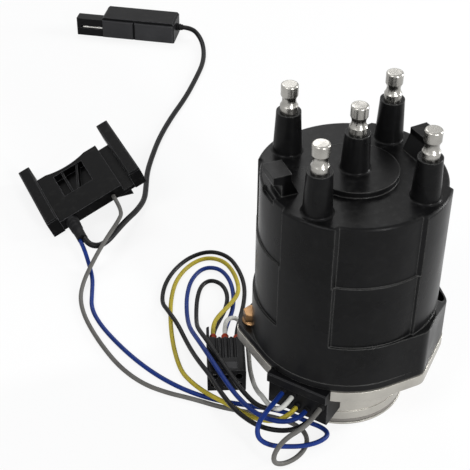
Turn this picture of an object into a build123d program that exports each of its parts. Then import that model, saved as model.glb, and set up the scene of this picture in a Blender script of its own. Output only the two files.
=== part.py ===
"""Four-cylinder ignition distributor with its wiring harness, in millimetres.

The shaft turns about Z. The origin is the centre of the pilot's bottom rim, which is
also the level of the surface that the harness lies on. Azimuths are degrees from +X.
"""
from build123d import *
import os
from math import cos, radians, sin, tan

# Housing, a light alloy casting
pilot_radius = 28.8
pilot_length = 8.0
relief_width = 0.8
relief_depth = 0.5
pilot_chamfer = 0.6
ring_groove_bottom = 1.5
ring_groove_width = 2.3
ring_groove_depth = 1.5
ring_squeeze = 0.05
ring_rounding = 0.8
neck_bottom = 24.5
flange_thickness = 5.0
flange_radius = 39.4
bay_radius = 25.0
bay_floor = 17.0
drive_recess_radius = 15.5
drive_recess_depth = 12.5
boss_radius = 10.6
boss_top = 49.0
shoulder_radius = 13.6
shoulder_top = 38.0
bearing_bore_radius = 8.3
seal_bore_radius = 9.4
seal_bore_depth = 5.0

# Ears of the flange: the left and the right screw, and one lobe without a screw
screw_azimuths = (165.0, -16.0)
screw_circle_insets = (0.8, 2.2)
ear_radius = 6.4
lobe_azimuth = -54.0
lobe_circle_inset = 3.4
rail_seat_offset = 6.2

# Shaft and what turns with it
shaft_radius = 6.3
shaft_bottom = 5.4
nose_gap = 3.4
nose_radius = 5.0
flat_start = 8.0
flat_depth = 1.0
running_clearance = 0.04
drive_disc_radius = 11.4
drive_disc_thickness = 4.6
tang_width = 5.4
tang_height = 5.6
tang_bottom = 1.0
tang_offset = 1.2
drive_pin_radius = 1.6
lower_washer_thickness = 0.8
upper_washer_thickness = 1.4
washer_radius = 9.0
washer_gap = 0.12
core_hub_radius = 8.4
core_height = 8.0
tooth_count = 4
tooth_width = 4.0
tooth_gap = 0.6

# Bushings and seal
lower_bushing_length = 9.0
upper_bushing_length = 11.0
seal_thickness = 4.0
seal_lip_depth = 3.4
seal_lip_gap = 0.4

# Pickup
plate_radius = 24.0
plate_thickness = 1.5
coil_radius = 20.5
coil_height = 8.0
bobbin_wall = 1.2
winding_gap = 0.2
plate_hole_azimuths = (30.0, 150.0, 270.0)
plate_hole_inset = 3.0
plate_hole_radius = 1.6
magnet_inner_radius = 12.9
magnet_outer_radius = 23.0
magnet_height = 3.0
pole_thickness = 1.6
pole_tooth_radius = 15.6
pole_tooth_depth = 2.0
pole_tooth_half_angle = 10.0
pole_tooth_height = 8.0
clip_thickness = 0.9
clip_width = 1.7
clip_groove_depth = 0.8
clip_opening = 4.0

# Ignition module and its plug
plug_azimuth = -134.4
module_outer_radius = 24.6
module_inner_radius = 14.6
module_face = 21.6
module_half_angle = 64.0
module_height = 9.0
module_screw_radius = 1.6
module_screw_grip = 4.0
module_screw_head_radius = 2.9
module_screw_head_height = 1.6
module_screw_circle_radius = 19.6
module_screw_half_angle = 24.0
plug_width = 27.5
plug_face = 38.3
plug_bottom = 11.0
rail_depth = 2.2
rail_bottom = 24.3
rail_top = 29.2
plug_gap = 0.2
plug_edge = 0.5
plug_nose_width = 22.0
plug_nose_bottom = 18.2
plug_nose_height = 5.0
blade_end_gap = 0.4
plug_way_count = 7
plug_way_pitch = 3.0
blade_width = 1.6
blade_thickness = 0.7
boot_length = 1.4
boot_collar = 0.6

# Cap, a glossy phenolic moulding
gasket_thickness = 0.6
gasket_inset = 0.3
cap_height = 81.4
cap_wall = 3.6
roof_thickness = 3.6
column_inset = 0.5
upper_panel_depth = 1.7
lower_panel_depth = 1.0
panel_half_angle = 26.0
panel_side_slope = 66.0
upper_ledge_below_roof = 28.3
lower_ledge_height = 23.0
roof_edge_radius = 1.2
foot_height = 3.2
pillar_below_ledge = 4.1
pillar_crown = 6.0
pillar_slope = 40.0
pillar_seat = 37.0
centre_disc_radius = 17.6
centre_disc_height = 2.6
tower_names = ("front_left", "front_right", "rear_right", "rear_left")
first_tower_azimuth = -135.0
tower_inset = 8.5
tower_height = 18.25
centre_tower_rise = 18.75
tower_base_radius = 5.9
tower_top_radius = 5.0
inner_boss_radius = 5.2
inner_boss_length = 9.0
brush_tube_radius = 5.6
brush_tube_length = 8.5

# Lead clips moulded on the roof
clip_azimuths = (188.0, 15.0)
hook_width = 10.5
hook_height = 9.6
hook_inner_inset = 9.7
hook_stem_inset = 5.5
hook_outer_inset = 1.9
hook_lip = 3.4
hook_lip_drop = 1.0
gusset_inset = 12.7
gusset_share = 0.7
notch_inset = 3.3
notch_height = 3.0
notch_above_roof = 0.5

# Terminals
stem_radius = 2.6
stem_below_ceiling = 16.9
post_radius = 3.5
post_waist_radius = 2.8
post_height = 12.2
post_base_height = 2.8
post_base_radius = 3.6
post_waist_length = 4.6
post_edge = 0.8

# Cap screws
screw_radius = 2.5
head_height = 6.4
head_across_flats = 7.0
flange_head_radius = 4.5
flange_head_height = 1.0
recess_radius = 4.9
recess_wall = 1.6
left_recess_height = 10.7
right_recess_rise = 4.0
thread_clearance = 0.05

# Rotor, brush and spring
rotor_hub_radius = 9.6
rotor_gap = 6.0
rotor_below_ceiling = 18.9
rotor_crown = 3.0
rotor_deck_thickness = 5.0
rotor_arm_width = 15.0
rotor_corner = 4.0
rotor_tail = 12.0
rotor_tip_gap = 3.5
rotor_web_width = 3.0
rotor_web_depth = 14.0
rotor_tip_overhang = 4.0
strip_width = 8.0
strip_thickness = 1.1
leaf_radius = 3.4
leaf_thickness = 1.2
brush_radius = 2.3
brush_gap = 0.15
brush_length = 7.0
brush_clearance = 0.06
spring_radius = 1.9
spring_wire_radius = 0.3
spring_turns = 4

# Six-way in-line connector on the harness
inline_length = 29.0
inline_width = 17.0
inline_height = 12.0
inline_x = -50.0
inline_y = 3.2
inline_azimuth = 79.0
inline_pitch = 5.4
inline_row_gap = 5.0
inline_rows = (3.4, 8.4)
flute_radius = 0.9
flute_pitch = 2.7
flute_count = 4
flute_lift = 0.2
shroud_length = 7.0
shroud_wall = 1.3
cavity_radius = 1.6
seal_radius = 1.75
seal_length = 5.0
lock_start = 1.5
lock_length = 4.0
lock_width = 9.4
lock_thickness = 1.0
inline_fit = 0.1

# Coil connector, H-shaped from above and lying tilted on its mating nose
coil_plug_x = -94.1
coil_plug_y = 155.7
coil_plug_azimuth = 11.2
coil_plug_tilt = 22.0
coil_bar_span = 55.5
coil_bar_width = 6.5
coil_bar_front = -21.0
coil_bar_rear = 30.0
coil_bar_edge = 0.7
coil_bar_thickness = 10.0
coil_deck_drop = 1.5
coil_deck_thickness = 6.0
coil_deck_front = -23.3
coil_deck_rear = 17.0
coil_scoop_radius = 30.0
coil_scoop_depth = 2.4
coil_seam_offset = 15.2
coil_trough_drop = 4.0
coil_window_width = 17.0
coil_window_length = 19.0
coil_window_depth = 4.0
coil_window_x = -4.0
coil_window_y = 2.5
coil_rib_width = 1.2
coil_rib_drop = 0.6
coil_rib_offsets = (-3.6, 2.4)
coil_rib_azimuths = (0.0, -17.0)
coil_nose_inner = 5.0
coil_nose_outer = 19.5
coil_nose_front = -1.0
coil_nose_rear = 15.0
coil_slot_inset = 6.0
coil_slot_offset = 3.6
coil_slot_half_width = 2.0
coil_slot_depth = 12.0
coil_wire_drop = 5.0
coil_boot_x = -15.6
coil_boot_length = 16.7
coil_boot_radius = 3.4
coil_grey_x = 8.9
coil_boot_pair = (1.05, -1.55)

# Single-way tachometer connector
tach_x = -34.3
tach_y = 331.0
tach_azimuth = -23.5
tach_length = 48.0
tach_depth = 17.0
tach_height = 14.0
tach_cover_depth = 1.6
tach_cover_gap = 1.2
tach_cover_height = 12.4
tach_tongue_length = 17.0
tach_tongue_depth = 7.0
tach_tongue_height = 12.0
tach_edge = 1.2
tach_slot_wall = 2.5
tach_slot_height = 2.0
tach_blade_thickness = 0.8
tach_blade_width = 5.5
tach_gland_y = 10.0
tach_gland_level = 7.0
tach_gland_radius = 2.4
tach_gland_length = 4.0

# Wires
wire_diameter = 2.1
tach_wire_diameter = 3.0
wire_rest = 0.1

# Where each wire enters the module plug (sideways, row) and the in-line plug (column, row)
plug_rows = {"lower": 15.6, "upper": 20.6}
plug_entries = {
    "inner_black_wire": (-4.35, "lower"),
    "yellow_wire": (0.05, "lower"),
    "blue_wire": (4.45, "lower"),
    "outer_black_wire": (8.85, "lower"),
    "coil_blue_wire": (-6.75, "upper"),
    "white_wire": (-2.15, "upper"),
    "coil_grey_wire": (11.05, "upper"),
}
inline_entries = {
    "outer_black_wire": (-1, 0),
    "blue_wire": (0, 0),
    "inner_black_wire": (1, 0),
    "white_wire": (0, 1),
    "yellow_wire": (1, 1),
}
inline_spare_way = (-1, 1)

# Routes of the wires between their ends; a point without a height lies on the floor.
# The module plug's wires also run straight for a short way in front of its face.
entry_run = 4.0
yellow_route = [
    (-49, 36.62, 8.4), (-45, 44.5, 6.8), (-37.5, 53.5, 4.4), (-31, 62, 3.2), (-28.4, 71.5),
    (-28.5, 82.5), (-31.5, 92), (-39.5, 96.3), (-49, 92), (-57.5, 82), (-62.5, 69), (-65.5, 55),
    (-67.3, 42), (-68, 30), (-67.5, 18), (-65, 8, 3.7), (-60.5, 0.5, 3.7), (-55, -6.5, 4.4),
    (-49.5, -15.5, 6.5), (-44, -25, 9), (-37, -31.8, 13),
]
outer_black_route = [
    (-38.4, 34.56, 3.4), (-34, 46), (-28.5, 59), (-25.5, 71), (-25.5, 83), (-28, 94.5), (-36, 101),
    (-47, 98.5), (-57, 90), (-64, 79), (-67.5, 67), (-66.3, 58, 3.7), (-63.5, 47.5, 3.7), (-62, 36, 3.4),
    (-61.4, 24, 7), (-60.6, 12, 11.5), (-58.2, 0, 14), (-56, -12.5, 14.6), (-52, -25.5, 15),
    (-44.5, -36.5, 15.4), (-33.5, -41, 15.6),
]
blue_route = [
    (-43.7, 35.59, 3.4), (-40.5, 44.5), (-35, 54.5), (-32, 67), (-31.8, 78), (-35, 86.5), (-42.5, 88.5),
    (-50, 81), (-54.5, 70), (-57, 58.5), (-58.5, 47, 3.5), (-59.3, 35.5, 9), (-58.2, 23, 13.2),
    (-55.6, 10, 13.9), (-53, -3.5, 14.4), (-49.9, -16.8, 15), (-44, -29.5, 15.4), (-35.5, -35.6, 15.6),
]
inner_black_route = [
    (-49, 36.62, 3.4), (-45, 45.5), (-38.7, 55), (-35.2, 65), (-36, 74), (-41, 78.5), (-46.5, 75),
    (-50.3, 66), (-52.8, 56), (-54.8, 45.5, 3.5), (-56, 35, 9.6), (-55, 23.5, 13.6), (-52.2, 10.5, 14),
    (-49.6, -2, 14.4), (-46.8, -14, 14.8), (-42.5, -24.5, 15),
]
white_route = [
    (-43.7, 35.59, 8.4), (-41, 41, 8), (-36.3, 42.6, 6.4), (-33.2, 38, 3.6), (-34, 30), (-35.6, 21),
    (-37.3, 12), (-38, 2, 2), (-38.3, -7, 6), (-38.8, -14.5, 11.6), (-40, -21, 17),
    (-38.8, -27.5, 18), (-35.8, -31.3, 19),
]
coil_blue_route = [
    (-99.12, 108.83, 8.6), (-97.8, 101, 4), (-97.2, 92), (-99, 81.5), (-101, 70), (-98.5, 57.5),
    (-93, 43.5), (-86, 29.5), (-77.5, 16.5), (-67.5, 5.5), (-56.5, -2.8), (-45, -8.2), (-34.5, -13),
    (-27, -17.5), (-21, -23.8), (-15, -29), (-14, -33.5), (-19.5, -37.5, 2.4), (-27, -39.8, 4.2),
    (-34, -40.8, 6.6), (-41.8, -42, 10.2), (-47.4, -41.4, 15), (-47, -38.4, 20), (-41.5, -33, 21.6),
]
coil_grey_route = [
    (-76.9, 121, 18.37), (-80.3, 114.5, 17.2), (-86, 108.5, 14.2), (-92.5, 102, 9.5), (-97.5, 96, 5.6),
    (-102, 89, 2.6), (-105, 80), (-105.3, 69), (-103.5, 57), (-99.5, 42), (-94, 27), (-86, 14.5),
    (-76.5, 6.5), (-66, 0.3), (-55.5, -7.2), (-45, -12.6), (-35, -17.6), (-27.7, -22.6),
    (-23.4, -28.8), (-23.9, -36), (-29.3, -42), (-36.5, -45.8, 2.2), (-42, -47.5, 5.5), (-42, -47.2, 11.5),
    (-37, -45.6, 17.2), (-29, -44.4, 20.4),
]
tach_route = [
    (1.03, 326.54, 7), (4.6, 318.5, 4.2), (4.8, 308), (0.6, 290), (-8, 271.5), (-19, 250), (-31.5, 230),
    (-42.5, 209.5), (-50.5, 190), (-55.5, 176), (-58.3, 163), (-61.2, 150.5, 2.4), (-67, 139, 4.4),
    (-74.5, 128.5, 6.6), (-81, 118.5, 8.2), (-86.5, 110, 9.2), (-91.7, 106, 9.58), (-96.66, 108.81, 9.58),
]

# Levels and radii that follow from the sizes above
UP = (Align.CENTER, Align.CENTER, Align.MIN)
flange_top = neck_bottom + flange_thickness
column_radius = flange_radius - column_inset
upper_panel_radius = column_radius - upper_panel_depth
lower_panel_radius = column_radius - lower_panel_depth
tower_circle_radius = column_radius - tower_inset
rail_seat_radius = pilot_radius + rail_seat_offset
cap_bottom = flange_top + gasket_thickness
roof_top = cap_bottom + cap_height
ceiling = roof_top - roof_thickness
upper_ledge = roof_top - upper_ledge_below_roof
lower_ledge = cap_bottom + lower_ledge_height
cap_inner_radius = upper_panel_radius - cap_wall
pillar_top = lower_ledge - pillar_below_ledge
stem_bottom = ceiling - stem_below_ceiling
tower_top = roof_top + tower_height
centre_roof = roof_top + centre_disc_height
centre_tower_top = roof_top + centre_tower_rise
drive_disc_bottom = tang_bottom + tang_height
drive_disc_top = drive_disc_bottom + drive_disc_thickness
plate_bottom = shoulder_top
coil_bottom = plate_bottom + plate_thickness
coil_top = coil_bottom + coil_height
pole_bottom = coil_top + magnet_height
core_bottom = boss_top + 2 * washer_gap + upper_washer_thickness
core_tooth_radius = pole_tooth_radius - tooth_gap
shaft_step = core_bottom + core_height + nose_gap
rotor_bottom = shaft_step + rotor_gap
rotor_hub_top = ceiling - rotor_below_ceiling
shaft_top = rotor_hub_top - rotor_crown
rotor_reach = tower_circle_radius - rotor_tip_gap
rotor_deck_bottom = rotor_hub_top
rotor_deck_top = rotor_deck_bottom + rotor_deck_thickness
strip_top = rotor_deck_top + strip_thickness
leaf_top = strip_top + leaf_thickness
brush_bottom = leaf_top + brush_gap
brush_top = brush_bottom + brush_length
shaft_bore = shaft_radius + running_clearance


def polar(radius, azimuth, level=0.0):
    """Place at a radius, azimuth and height, with local X pointing outwards."""
    return Rot(0, 0, azimuth) * Pos(radius, 0, level)


def ring(outer, inner, bottom, height):
    """A plain washer standing on a level."""
    body = Cylinder(outer, height, align=UP) - Cylinder(inner, height, align=UP)
    return Pos(0, 0, bottom) * body


def rod(radius, bottom, height):
    """A plain round bar standing on a level."""
    return Pos(0, 0, bottom) * Cylinder(radius, height, align=UP)


def block(x_range, y_range, z_range):
    """A box given by its limits."""
    sizes = [high - low for low, high in (x_range, y_range, z_range)]
    centre = [(high + low) / 2 for low, high in (x_range, y_range, z_range)]
    return Pos(*centre) * Box(*sizes)


def sector(outer, inner, azimuth, half_angle, bottom, height, apex=0.0):
    """A ring segment about Z, whose sides meet at the apex."""
    spread = 2 * outer * tan(radians(half_angle))
    wedge = Polyline((apex, 0), (apex + 2 * outer, -spread), (apex + 2 * outer, spread), close=True)
    prism = Pos(0, 0, bottom) * extrude(make_face(wedge), height)
    return Rot(0, 0, azimuth) * (prism & ring(outer, inner, bottom, height))


def screw_places():
    return [polar(flange_radius - inset, azimuth) for inset, azimuth in zip(screw_circle_insets, screw_azimuths)]


def lobe_place():
    return polar(flange_radius - lobe_circle_inset, lobe_azimuth)


def tower_azimuths():
    return [first_tower_azimuth + index * 360 / len(tower_names) for index in range(len(tower_names))]


def ear_outline(base_radius, growth=0.0):
    """Rhombic plan of the flange: a disc drawn out to the two screws and one lobe."""
    circles = [Circle(base_radius + growth)]
    for place in screw_places():
        circles.append(place * Circle(ear_radius + growth))
    circles.append(lobe_place() * Circle(ear_radius + growth))
    edges = []
    for circle in circles:
        edges += circle.edges()
    return make_hull(edges)


def rail_seat(bottom, top):
    """Space that the module plug's rail takes from what is above and below the joint."""
    half = plug_width / 2 + plug_gap
    seat = block((rail_seat_radius, flange_radius + ear_radius), (-half, half), (bottom, top))
    return Rot(0, 0, plug_azimuth) * seat


def housing():
    flange = Pos(0, 0, neck_bottom) * extrude(ear_outline(flange_radius), flange_thickness)
    body = flange + rod(pilot_radius, 0, flange_top)
    body -= ring(pilot_radius + 1, pilot_radius - ring_groove_depth, ring_groove_bottom, ring_groove_width)
    body -= ring(pilot_radius + 1, pilot_radius - relief_depth, pilot_length, relief_width)
    body -= rod(bay_radius, bay_floor, flange_top - bay_floor)
    body += rod(shoulder_radius, bay_floor, shoulder_top - bay_floor)
    body += rod(boss_radius, bay_floor, boss_top - bay_floor)
    body -= rod(drive_recess_radius, 0, drive_recess_depth)
    body -= rod(bearing_bore_radius, 0, boss_top)
    body -= rod(seal_bore_radius, drive_recess_depth, seal_bore_depth)
    body -= ring(boss_radius + 1, boss_radius - clip_groove_depth, coil_top, clip_thickness)
    for side in (-1, 1):
        azimuth = plug_azimuth + side * module_screw_half_angle
        body -= polar(module_screw_circle_radius, azimuth) * rod(
            module_screw_radius + thread_clearance, bay_floor - module_screw_grip, module_screw_grip)
    for place in screw_places():
        body -= place * rod(screw_radius + thread_clearance, neck_bottom, flange_thickness)
    half = plug_nose_width / 2 + plug_gap
    window = block((module_face - 1, pilot_radius + 1), (-half, half),
                   (plug_nose_bottom - plug_gap, plug_nose_bottom + plug_nose_height + plug_gap))
    body -= rail_seat(neck_bottom, flange_top)
    body -= Rot(0, 0, plug_azimuth) * window
    rims = body.edges().filter_by(GeomType.CIRCLE).group_by(Axis.Z)[0]
    outer_rim = rims.sort_by(lambda edge: edge.radius)[-1]
    return chamfer(outer_rim, pilot_chamfer)


def pilot_ring():
    """Sealing ring as squeezed flush in its groove."""
    body = ring(pilot_radius - ring_squeeze, pilot_radius - ring_groove_depth, ring_groove_bottom, ring_groove_width)
    outer = body.edges().filter_by(GeomType.CIRCLE).filter_by(
        lambda edge: edge.radius > pilot_radius - ring_groove_depth / 2)
    return fillet(outer, ring_rounding)


def lower_bushing():
    bottom = drive_recess_depth + seal_bore_depth
    return ring(bearing_bore_radius, shaft_bore, bottom, lower_bushing_length)


def upper_bushing():
    return ring(bearing_bore_radius, shaft_bore, boss_top - upper_bushing_length, upper_bushing_length)


def shaft_seal():
    body = ring(seal_bore_radius, shaft_bore, drive_recess_depth + seal_bore_depth - seal_thickness, seal_thickness)
    lip_space = Pos(0, 0, drive_recess_depth) * Cone(
        bearing_bore_radius, shaft_bore + seal_lip_gap, seal_lip_depth, align=UP)
    return body - lip_space


def shaft():
    body = rod(shaft_radius, shaft_bottom, shaft_step - shaft_bottom)
    body += rod(nose_radius, shaft_step, shaft_top - shaft_step)
    flat = block((nose_radius - flat_depth, nose_radius + 1), (-nose_radius, nose_radius),
                 (shaft_step + flat_start, shaft_top + 1))
    body -= flat
    pin_hole = Pos(0, 0, drive_disc_bottom + drive_disc_thickness / 2) * Rot(90, 0, 0) * Cylinder(
        drive_pin_radius, 4 * shaft_radius)
    body -= pin_hole
    return chamfer(body.edges().filter_by(GeomType.CIRCLE).group_by(Axis.Z)[0], 0.5)


def drive_coupling():
    disc = ring(drive_disc_radius, shaft_radius, drive_disc_bottom, drive_disc_thickness)
    tang = block((-drive_disc_radius, drive_disc_radius),
                 (tang_offset - tang_width / 2, tang_offset + tang_width / 2),
                 (tang_bottom, drive_disc_bottom))
    tang &= rod(drive_disc_radius, tang_bottom, tang_height)
    body = disc + (tang - rod(shaft_radius, shaft_bottom, drive_disc_bottom - shaft_bottom))
    pin_hole = Pos(0, 0, drive_disc_bottom + drive_disc_thickness / 2) * Rot(90, 0, 0) * Cylinder(
        drive_pin_radius, 4 * drive_disc_radius)
    return body - pin_hole


def drive_pin():
    return Pos(0, 0, drive_disc_bottom + drive_disc_thickness / 2) * Rot(90, 0, 0) * Cylinder(
        drive_pin_radius, 2 * drive_disc_radius - 1)


def lower_washer():
    return ring(washer_radius, shaft_radius, drive_disc_top, lower_washer_thickness)


def upper_washer():
    return ring(washer_radius, shaft_radius, core_bottom - upper_washer_thickness, upper_washer_thickness)


def timer_core():
    """Star wheel whose teeth pass the pickup's pole teeth."""
    body = ring(core_hub_radius, shaft_radius, core_bottom, core_height)
    tooth = block((core_hub_radius - 1, core_tooth_radius + 1), (-tooth_width / 2, tooth_width / 2),
                  (core_bottom, core_bottom + core_height))
    for index in range(tooth_count):
        body += Rot(0, 0, index * 360 / tooth_count) * (tooth & rod(core_tooth_radius, core_bottom, core_height))
    return body


def pickup_plate():
    plate = ring(plate_radius, boss_radius, plate_bottom, plate_thickness)
    for azimuth in plate_hole_azimuths:
        plate -= polar(plate_radius - plate_hole_inset, azimuth) * rod(plate_hole_radius, plate_bottom, plate_thickness)
    return plate


def pickup_coil():
    """Moulded bobbin with the winding laid in its waist."""
    bobbin = ring(coil_radius, boss_radius, coil_bottom, coil_height)
    waist = ring(coil_radius + 1, coil_radius - bobbin_wall, coil_bottom + bobbin_wall, coil_height - 2 * bobbin_wall)
    return bobbin - waist


def pickup_winding():
    return ring(coil_radius - winding_gap, coil_radius - bobbin_wall, coil_bottom + bobbin_wall,
                coil_height - 2 * bobbin_wall)


def pickup_magnet():
    return ring(magnet_outer_radius, magnet_inner_radius, coil_top, magnet_height)


def pole_piece():
    """Flat ring with four teeth turned up round the timer core."""
    plate = ring(magnet_outer_radius, pole_tooth_radius, pole_bottom, pole_thickness)
    for index in range(tooth_count):
        plate += sector(pole_tooth_radius + pole_tooth_depth, pole_tooth_radius,
                        45 + index * 360 / tooth_count, pole_tooth_half_angle, pole_bottom, pole_tooth_height)
    return plate


def pickup_clip():
    """Open retaining ring in the boss groove."""
    body = ring(boss_radius - clip_groove_depth + clip_width, boss_radius - clip_groove_depth,
                coil_top, clip_thickness)
    return body - block((0, boss_radius + clip_width), (-clip_opening / 2, clip_opening / 2),
                        (coil_top, coil_top + clip_thickness))


def ignition_module():
    body = sector(module_outer_radius, module_inner_radius, 0, module_half_angle, bay_floor, module_height)
    body -= block((module_face, module_outer_radius + 2), (-module_outer_radius, module_outer_radius),
                  (bay_floor, bay_floor + module_height))
    for side in (-1, 1):
        body -= polar(module_screw_circle_radius, side * module_screw_half_angle) * rod(
            module_screw_radius + thread_clearance, bay_floor, module_height)
    return Rot(0, 0, plug_azimuth) * body


def module_screws():
    screws = []
    for side in (-1, 1):
        screw = rod(module_screw_radius, bay_floor - module_screw_grip, module_height + module_screw_grip)
        screw += rod(module_screw_head_radius, bay_floor + module_height, module_screw_head_height)
        place = polar(module_screw_circle_radius, plug_azimuth + side * module_screw_half_angle)
        screws.append(place * screw)
    return screws


def plug_ways():
    """Sideways places of the plug's terminals."""
    middle = (plug_way_count - 1) / 2
    return [(index - middle) * plug_way_pitch for index in range(plug_way_count)]


def module_blade(offset):
    """One blade, which is also the slot for it in the plug."""
    level = plug_nose_bottom + plug_nose_height / 2
    return block((module_face, pilot_radius - blade_end_gap), (offset - blade_width / 2, offset + blade_width / 2),
                 (level - blade_thickness / 2, level + blade_thickness / 2))


def module_terminals():
    """Flat blades from the module into the plug's nose."""
    return [Rot(0, 0, plug_azimuth) * module_blade(offset) for offset in plug_ways()]


def module_plug():
    """Seven-way plug that closes the side of the bowl, with a rail along its top."""
    half = plug_width / 2
    body = block((module_face, plug_face), (-half, half), (plug_bottom, neck_bottom - plug_gap))
    body -= rod(pilot_radius + plug_gap, 0, neck_bottom)
    rail = block((rail_seat_radius + plug_gap, plug_face + rail_depth), (-half, half), (rail_bottom, rail_top))
    body += rail
    nose = block((module_face + plug_gap, pilot_radius + 3), (-plug_nose_width / 2, plug_nose_width / 2),
                 (plug_nose_bottom, plug_nose_bottom + plug_nose_height))
    body += nose
    for offset in plug_ways():
        body -= module_blade(offset)
    outer_edges = body.edges().filter_by(Axis.Y).filter_by(lambda edge: edge.center().X > plug_face - plug_gap)
    body = chamfer(outer_edges, plug_edge)
    return Rot(0, 0, plug_azimuth) * body


def wire_boots():
    """Soft grommets round the wires where they enter the module plug."""
    boots = []
    for offset, row in plug_entries.values():
        collar = Cylinder(wire_diameter / 2 + boot_collar, boot_length, align=UP)
        place = Rot(0, 0, plug_azimuth) * Pos(plug_face, offset, plug_rows[row]) * Rot(0, 90, 0)
        boots.append(place * collar)
    return boots


def cap_gasket():
    outline = ear_outline(flange_radius, -gasket_inset)
    body = Pos(0, 0, flange_top) * extrude(outline, gasket_thickness)
    body -= rod(cap_inner_radius, flange_top, gasket_thickness)
    for place in screw_places():
        body -= place * rod(screw_radius + thread_clearance, flange_top, gasket_thickness)
    return body - rail_seat(flange_top, cap_bottom)


def panel(radius, azimuth, bottom, top):
    """Space in front of one recessed panel, with sloping sides."""
    half_width = radius * sin(radians(panel_half_angle))
    apex = radius * cos(radians(panel_half_angle)) - half_width / tan(radians(panel_side_slope))
    return sector(column_radius + 1, radius, azimuth, panel_side_slope, bottom, top - bottom, apex)


def cap_shell():
    """Tall cup with recessed panels between the four tower columns."""
    body = rod(column_radius, cap_bottom, cap_height)
    for azimuth in (0, 90, 180, 270):
        body -= panel(upper_panel_radius, azimuth, upper_ledge, roof_top)
        body -= panel(lower_panel_radius, azimuth, lower_ledge, upper_ledge)
    return body


def screw_seats():
    """Levels of the left and the right screw head."""
    return cap_bottom + foot_height, pillar_seat


def cap_skirt():
    """Foot band, the raised lobe at the right and the tall screw pillar."""
    foot = Pos(0, 0, cap_bottom) * extrude(ear_outline(flange_radius, -gasket_inset), foot_height)
    right = screw_places()[1]
    rims = Circle(column_radius).edges()
    for place in (right, lobe_place()):
        rims += (place * Circle(ear_radius - gasket_inset)).edges()
    lobe = Pos(0, 0, cap_bottom) * extrude(make_hull(rims), lower_ledge - cap_bottom)
    pillar = right * rod(ear_radius - gasket_inset, cap_bottom, pillar_top - cap_bottom + pillar_crown)
    slope = block((-column_radius, column_radius), (-column_radius, column_radius), (0, column_radius))
    crest = polar(column_radius - recess_wall, screw_azimuths[1], pillar_top + right_recess_rise)
    cutter = crest * Rot(0, pillar_slope, 0) * slope
    return foot + (lobe + pillar - cutter)


def lead_clip():
    """Hooked block that holds the plug leads, drawn in profile and extruded."""
    inner = column_radius - hook_inner_inset
    outer = column_radius - hook_outer_inset
    stem = column_radius - hook_stem_inset
    profile = Polyline(
        (column_radius - gusset_inset, 0), (inner, hook_height * gusset_share), (inner, hook_height),
        (outer, hook_height), (outer, hook_height - hook_lip), (stem, hook_height - hook_lip - hook_lip_drop),
        (stem, 0), close=True)
    face = make_face(Plane.XZ * profile)
    return extrude(face, hook_width / 2, both=True)


def towers():
    body = Pos(0, 0, roof_top) * rod(centre_disc_radius, 0, centre_disc_height)
    cone = Cone(tower_base_radius, tower_top_radius, tower_height, align=UP)
    for azimuth in tower_azimuths():
        body += polar(tower_circle_radius, azimuth, roof_top) * cone
    centre = Cone(tower_base_radius, tower_top_radius, centre_tower_top - centre_roof, align=UP)
    return body + Pos(0, 0, centre_roof) * centre


def cap_hollow():
    """Inside of the cap, which keeps a wall round each screw recess."""
    hollow = rod(cap_inner_radius, cap_bottom, ceiling - cap_bottom)
    for place in screw_places():
        hollow -= place * rod(recess_radius + recess_wall, cap_bottom, pillar_top - cap_bottom)
    return hollow


def cap():
    body = cap_shell()
    roof_edges = body.edges().group_by(Axis.Z)[-1]
    body = fillet(roof_edges, roof_edge_radius)
    body += cap_skirt()
    body += towers()
    for azimuth in clip_azimuths:
        body += Rot(0, 0, azimuth) * Pos(0, 0, roof_top) * lead_clip()
        body -= Rot(0, 0, azimuth) * block(
            (column_radius - notch_inset, column_radius + 1), (-hook_width / 2, hook_width / 2),
            (roof_top - notch_height, roof_top + notch_above_roof))
    body -= cap_hollow()
    for azimuth in tower_azimuths():
        body += polar(tower_circle_radius, azimuth) * rod(
            inner_boss_radius, ceiling - inner_boss_length, inner_boss_length) & rod(
            cap_inner_radius + 1, ceiling - inner_boss_length, inner_boss_length)
    body += rod(brush_tube_radius, ceiling - brush_tube_length, brush_tube_length)
    for azimuth in tower_azimuths():
        body -= polar(tower_circle_radius, azimuth) * rod(stem_radius, stem_bottom, tower_top - stem_bottom)
    body -= rod(brush_radius + brush_clearance, ceiling - brush_tube_length,
                centre_roof - ceiling + brush_tube_length)
    body -= rod(stem_radius, centre_roof, centre_tower_top - centre_roof)
    tops = (screw_seats()[0] + left_recess_height, pillar_top + right_recess_rise)
    for place, seat, top in zip(screw_places(), screw_seats(), tops):
        body -= place * rod(screw_radius + thread_clearance, cap_bottom, seat - cap_bottom)
        body -= place * rod(recess_radius, seat, top - seat)
    return body


def post(base, bottom):
    """Lead post: a stem in the tower, a plain foot, a waist and a flat-topped head."""
    top = base + post_height
    foot_top = base + post_base_height
    head_bottom = foot_top + post_waist_length
    waist = foot_top + post_waist_length / 2
    outline = [
        Line((0, bottom), (stem_radius, bottom)),
        Line((stem_radius, bottom), (stem_radius, base)),
        Line((stem_radius, base), (post_base_radius, base)),
        Line((post_base_radius, base), (post_base_radius, foot_top)),
        Spline((post_base_radius, foot_top), (post_waist_radius, waist), (post_radius, head_bottom)),
        Line((post_radius, head_bottom), (post_radius, top - post_edge)),
        RadiusArc((post_radius, top - post_edge), (post_radius - post_edge, top), -post_edge),
        Line((post_radius - post_edge, top), (0, top)),
        Line((0, top), (0, bottom)),
    ]
    return revolve(Plane.XZ * make_face(outline), Axis.Z)


def cap_screws():
    """Flanged hexagon screws that hold the cap down on the ears."""
    screws = []
    for place, seat in zip(screw_places(), screw_seats()):
        length = seat - neck_bottom
        screw = rod(screw_radius, neck_bottom, length)
        screw += rod(flange_head_radius, seat, flange_head_height)
        head = extrude(RegularPolygon(head_across_flats / 2, 6, major_radius=False), head_height)
        screw += Pos(0, 0, seat) * head
        screws.append(place * screw)
    return screws


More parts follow.
